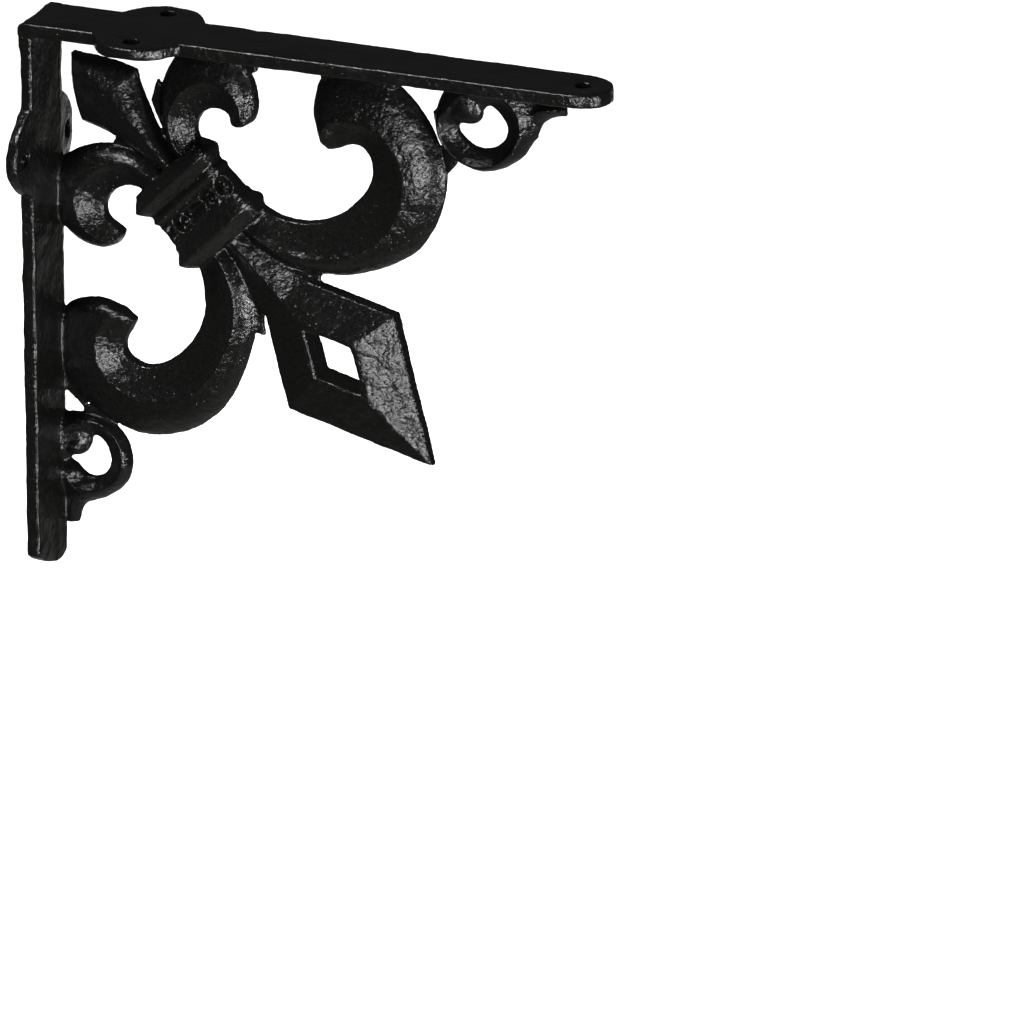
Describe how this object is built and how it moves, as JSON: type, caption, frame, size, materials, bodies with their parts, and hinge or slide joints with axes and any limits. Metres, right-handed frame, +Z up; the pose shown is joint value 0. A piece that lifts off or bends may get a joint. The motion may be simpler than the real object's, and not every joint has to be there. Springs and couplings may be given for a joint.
{
  "type": "ornate shelf bracket",
  "caption": "Ornate cast iron shelf bracket: an L of two flat bars with screw ears, its corner filled by a fleur-de-lis, a collar, C-scrolls and a pierced lozenge.",
  "frame": {"origin": "on the leg's flat back face, on the centre line, midway between the two screw holes of its ear", "axes": "+X out from the wall along the arm, +Z up; the carved relief faces -Y"},
  "size_m": [0.203, 0.0456, 0.1929],
  "materials": {
    "black_enamel_cast_iron": "satin"
  },
  "bodies": {
    "root": {"shelf_bracket": "black_enamel_cast_iron"}
  },
  "joints": []
}
